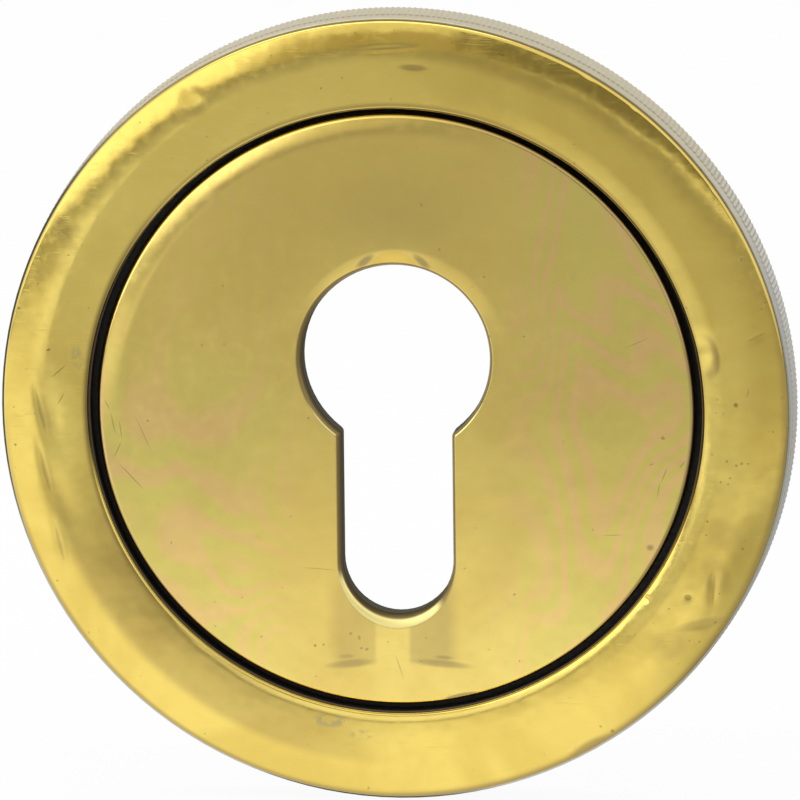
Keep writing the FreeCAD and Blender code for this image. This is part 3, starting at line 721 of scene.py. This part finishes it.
def rimMaterial():
    look, paint = rimLook, Paint("rim_look")
    cloud = paint.noise(0.8, 3.0, 0.6, seed=1)
    fine = paint.noise(3.5, 3.0, 0.6, seed=4)
    colour = paint.mix(paint.step(paint.z, 8, 30), look["plate"], look["beige"])
    colour = paint.mix(paint.times(paint.step(cloud, 0.5, 0.68), 0.6), colour, look["warm"])
    colour = paint.mix(paint.times(paint.step(fine, 0.55, 0.7), 0.5), colour, look["green"])
    # Painted shade: the gap inside the brass ring is painted nearly black, and the lip beside the ring's
    # rolled edge dark brown
    inside = paint.step(paint.radius, 33.0, 31.0)
    colour = paint.mix(inside, colour, look["grimeAndShade"])
    lip = paint.times(paint.step(paint.radius, 28.98, 29.05), inside, paint.step(paint.y, -5.5, -5.65))
    colour = paint.mix(lip, colour, look["lip"])
    # A painted highlight on the narrow step from the knurl to the shoulder
    ledge = paint.step(paint.math("ABSOLUTE", paint.math("ADD", paint.y, 3.55)), 0.06, 0.02)
    colour = paint.mix(paint.times(ledge, 0.35), colour, look["paintedBright"])
    # Darker along the joint with the brass ring's outside
    joint = paint.times(paint.step(paint.radius, ring["outside"] + 0.06, ring["outside"] + 0.01),
                        paint.step(paint.radius, 36.0, 36.5))
    colour = paint.mix(paint.times(joint, 0.3), colour, look["grimeAndShade"])
    # Painted shade on the lip beside the brass at the left and below
    lipShade = paint.times(paint.most(paint.sector(168, 26, 12), paint.sector(266, 12, 8)),
                          paint.step(paint.y, -5.0, -5.3), paint.rest(inside))
    colour = paint.mix(paint.times(lipShade, 0.85), colour, look["grimeAndShade"])
    # The painted gap and step are mostly not metallic
    metallic = paint.rest(paint.times(paint.most(inside, ledge), 0.9))
    rough = paint.math("ADD", look["roughness"], paint.times(inside, 0.4))
    return paint.finish(colour, rough, fine, 0.01, metallic)


def plateMaterial():
    look, paint = plateLook, Paint("plate_look")
    cloud = paint.noise(0.35, 4.0, 0.6, seed=5)
    fine = paint.noise(2.5, 3.0, 0.6, seed=8)
    colour = paint.mix(paint.step(cloud, 0.3, 0.7), look["metal"], look["dull"])
    # Painted shade inside and round the keyhole, where the plate is dark
    high = paint.math("SUBTRACT", paint.z, keyhole["rise"])
    reach = paint.math("SQRT", paint.math("ADD", paint.times(paint.x, paint.x), paint.times(high, high)))
    arch = paint.step(reach, keyhole["radius"] + 1.5, keyhole["radius"] + 0.1)
    half = keyhole["slotHalf"]
    slot = paint.times(paint.step(paint.math("ABSOLUTE", paint.x), half + 1.5, half + 0.1),
                       paint.step(paint.z, 5, 4), paint.step(paint.z, -21.3, -19.9))
    wall = paint.times(paint.most(arch, slot), paint.step(paint.y, -0.1, -0.6))
    colour = paint.mix(wall, colour, look["wall"])
    # Painted shade on the plate under the disc's edge
    grimeAndShade = paint.times(paint.step(paint.radius, 25.5, 26.5), paint.step(paint.y, -0.3, -1.2))
    colour = paint.mix(grimeAndShade, colour, look["grimeAndShade"])
    metallic = paint.rest(paint.most(wall, paint.times(grimeAndShade, 0.9)))
    rough = paint.math("ADD", look["roughness"], paint.times(paint.step(fine, 0.4, 0.7), 0.15))
    gloss = paint.math("MULTIPLY_ADD", wall, -0.5, 0.5)
    paint.tree.links.new(gloss, paint.shader.inputs["Specular IOR Level"])
    return paint.finish(colour, rough, fine, 0.02, metallic)


def dress(piece, material):
    if piece.data.materials:
        for index in range(len(piece.data.materials)):
            piece.data.materials[index] = material
    else:
        piece.data.materials.append(material)


dress(brassRing, ringMaterial())
dress(brassDisc, discMaterial())
dress(nodes["knurled_rim"], rimMaterial())
dress(nodes["base_plate"], plateMaterial())
print("materials made")


# The camera, at the photo's angle

cameraView = {
    "lens": 1200, "sensor": 36,
    "width": 75.38,      # what the frame spans at the cover's front
    "azimuth": 6.7, "elevation": 10.9, "roll": 0.64,
    "aim": (0.0, -5.3, 0.0),
    "shiftRight": 0.363, "shiftUp": 0.80,   # from the aim to the middle of the frame
}


def makeCamera():
    # back = (sin a cos e, -cos a cos e, sin e), right = (cos a, sin a, 0), up = back x right,
    # and right and up are then turned by the roll
    a, e, roll = (radians(cameraView[key]) for key in ("azimuth", "elevation", "roll"))
    back = Vector((sin(a) * cos(e), -cos(a) * cos(e), sin(e)))
    right = Vector((cos(a), sin(a), 0))
    up = back.cross(right)
    right, up = right * cos(roll) + up * -sin(roll), up * cos(roll) + right * sin(roll)
    distance = cameraView["width"] * cameraView["lens"] / cameraView["sensor"]
    target = Vector(cameraView["aim"]) + right * cameraView["shiftRight"] + up * cameraView["shiftUp"]
    camera = bpy.data.objects.new("camera", bpy.data.cameras.new("camera"))
    camera.data.sensor_width = cameraView["sensor"]
    camera.data.lens = cameraView["lens"]
    camera.data.clip_start = 0.1
    camera.data.clip_end = 20
    turn = Matrix((right, up, back)).transposed().to_4x4()
    camera.matrix_world = Matrix.Translation((target + back * distance) * mm) @ turn
    bpy.context.scene.collection.objects.link(camera)
    bpy.context.scene.camera = camera


makeCamera()


# The floor, the world, the lamps and the cards

studio = {
    "world": 0.7,
    "floorColour": (0.9, 0.9, 0.9), "floorWhite": 0.93,
    # What reflections see of the floor in front: bright near the part and darker far away
    "mirrorWhite": 0.88, "near": (-48, 1.16), "middle": (-215, 0.53), "far": (-900, 0.34),
    # Across, where the floor's bright left begins and is full, and its level, and how far ahead this
    # begins and is full. Then the same for its darker right, close to the part
    "leftSide": (-54, -84, 0.5), "leftAhead": (-450, -300),
    "rightSide": (18, 40, -0.6), "rightAhead": (-150, -90),
    "leftBox": {"at": (-400, -560, 190), "size": (560, 400), "power": 0.52},
    "topBox": {"at": (-150, 40, 700), "size": (700, 700), "power": 2.2},
    # Cards in front, below and around the camera's line, which only reflections see
    "darkCard": {"at": (94, -360, 70), "size": (212, 76), "colour": (0.25, 0.24, 0.22)},
    "paleCard": {"at": (-45, -360, 57), "size": (66, 54), "colour": (0.55, 0.50, 0.40)},
}


def seenRays(tree):
    # 1 for rays from the camera, and for rays that a mirror or a clear piece sends on
    path = addNode(tree, "ShaderNodeLightPath")
    mirrored = addNode(tree, "ShaderNodeMath", {0: path.outputs["Is Glossy Ray"],
                                                1: path.outputs["Is Transmission Ray"]},
                       operation="MAXIMUM").outputs[0]
    return path.outputs["Is Camera Ray"], mirrored


def makeWorld():
    world = bpy.data.worlds.new("studio")
    world.use_nodes = True
    tree = world.node_tree
    background = tree.nodes["Background"]
    background.inputs["Color"].default_value = (1, 1, 1, 1)
    camera, mirrored = seenRays(tree)
    seen = addNode(tree, "ShaderNodeMath", {0: camera, 1: mirrored}, operation="MAXIMUM")
    strength = addNode(tree, "ShaderNodeMapRange", {0: seen.outputs[0], 3: studio["world"], 4: 1.0})
    tree.links.new(strength.outputs[0], background.inputs["Strength"])
    bpy.context.scene.world = world


def makeFloor():
    # Diffuse, and towards white where the camera, a reflection or a clear piece sees it
    material, tree, shader = newMaterial("floor_look")
    shader.inputs["Base Color"].default_value = (*studio["floorColour"], 1)
    shader.inputs["Roughness"].default_value = 1
    shader.inputs["Specular IOR Level"].default_value = 0
    camera, mirrored = seenRays(tree)
    first = addNode(tree, "ShaderNodeMath", {0: camera, 1: studio["floorWhite"]}, operation="MULTIPLY")
    share = addNode(tree, "ShaderNodeMath", {0: mirrored, 1: studio["mirrorWhite"], 2: first.outputs[0]},
                    operation="MULTIPLY_ADD")
    where = addNode(tree, "ShaderNodeTexCoord").outputs["Object"]
    across, ahead = addNode(tree, "ShaderNodeSeparateXYZ", {0: where}).outputs[:2]
    (near, bright), (middle, grey), (far, dark) = studio["near"], studio["middle"], studio["far"]
    begin, end, left = studio["leftSide"]
    start, stop, right = studio["rightSide"]
    close, beside = (addNode(tree, "ShaderNodeMapRange", {0: ahead, 1: first * mm, 2: last * mm, 4: level},
                             interpolation_type="SMOOTHSTEP").outputs[0]
                     for (first, last), level in ((studio["leftAhead"], left), (studio["rightAhead"], right)))
    stages = [(ahead, far, middle, dark, grey), (ahead, middle, near, 0.0, bright - grey),
              (across, begin, end, 0.0, close), (across, start, stop, 0.0, beside)]
    fade = 0.0
    for value, first, last, low, high in stages:
        stage = addNode(tree, "ShaderNodeMapRange", {0: value, 1: first * mm, 2: last * mm, 3: low, 4: high},
                        interpolation_type="SMOOTHSTEP")
        fade = addNode(tree, "ShaderNodeMath", {0: fade, 1: stage.outputs[0]}, operation="ADD").outputs[0]
    fade = addNode(tree, "ShaderNodeMath", {0: fade, 1: bright}, operation="MINIMUM").outputs[0]
    level = addNode(tree, "ShaderNodeMix", {0: camera, 2: fade, 3: 1.0})
    white = addNode(tree, "ShaderNodeEmission", {"Color": (1, 1, 1, 1), "Strength": level.outputs[0]})
    mixed = addNode(tree, "ShaderNodeMixShader",
                    {0: share.outputs[0], 1: shader.outputs[0], 2: white.outputs[0]})
    output = next(item for item in tree.nodes if item.type == "OUTPUT_MATERIAL")
    tree.links.new(mixed.outputs[0], output.inputs["Surface"])
    size, height = 6.0, cadBox[0].z
    mesh = bpy.data.meshes.new("floor")
    corners = [(-size, -size, height), (size, -size, height), (size, size, height), (-size, size, height)]
    mesh.from_pydata(corners, [], [(0, 1, 2, 3)])
    floor = bpy.data.objects.new("floor", mesh)
    bpy.context.scene.collection.objects.link(floor)
    dress(floor, material)


def aimAt(item, at, target):
    item.location = Vector(at) * mm
    item.rotation_euler = (Vector(target) - Vector(at)).to_track_quat("-Z", "Y").to_euler()


def makeLamp(name, target=(0, 0, 0)):
    values = studio[name]
    lamp = bpy.data.lights.new(name, "AREA")
    lamp.shape = "RECTANGLE"
    lamp.size, lamp.size_y = values["size"][0] * mm, values["size"][1] * mm
    lamp.energy = values["power"]
    item = bpy.data.objects.new(name, lamp)
    aimAt(item, values["at"], target)
    item.visible_camera = False
    bpy.context.scene.collection.objects.link(item)


def makeCard(name):
    values = studio[name]
    width, height = values["size"][0] / 2 * mm, values["size"][1] / 2 * mm
    mesh = bpy.data.meshes.new(name)
    corners = [(-width, 0, -height), (width, 0, -height), (width, 0, height), (-width, 0, height)]
    mesh.from_pydata(corners, [], [(0, 1, 2, 3)])
    card = bpy.data.objects.new(name, mesh)
    card.location = Vector(values["at"]) * mm
    card.visible_camera = False
    card.visible_shadow = False
    material, tree, shader = newMaterial(name + "_look")
    shader.inputs["Base Color"].default_value = (*values["colour"], 1)
    shader.inputs["Roughness"].default_value = 1
    dress(card, material)
    bpy.context.scene.collection.objects.link(card)


makeWorld()
makeFloor()
makeLamp("leftBox")
makeLamp("topBox")
makeCard("darkCard")
makeCard("paleCard")
bpy.context.scene.view_settings.view_transform = "Standard"
print("studio made")
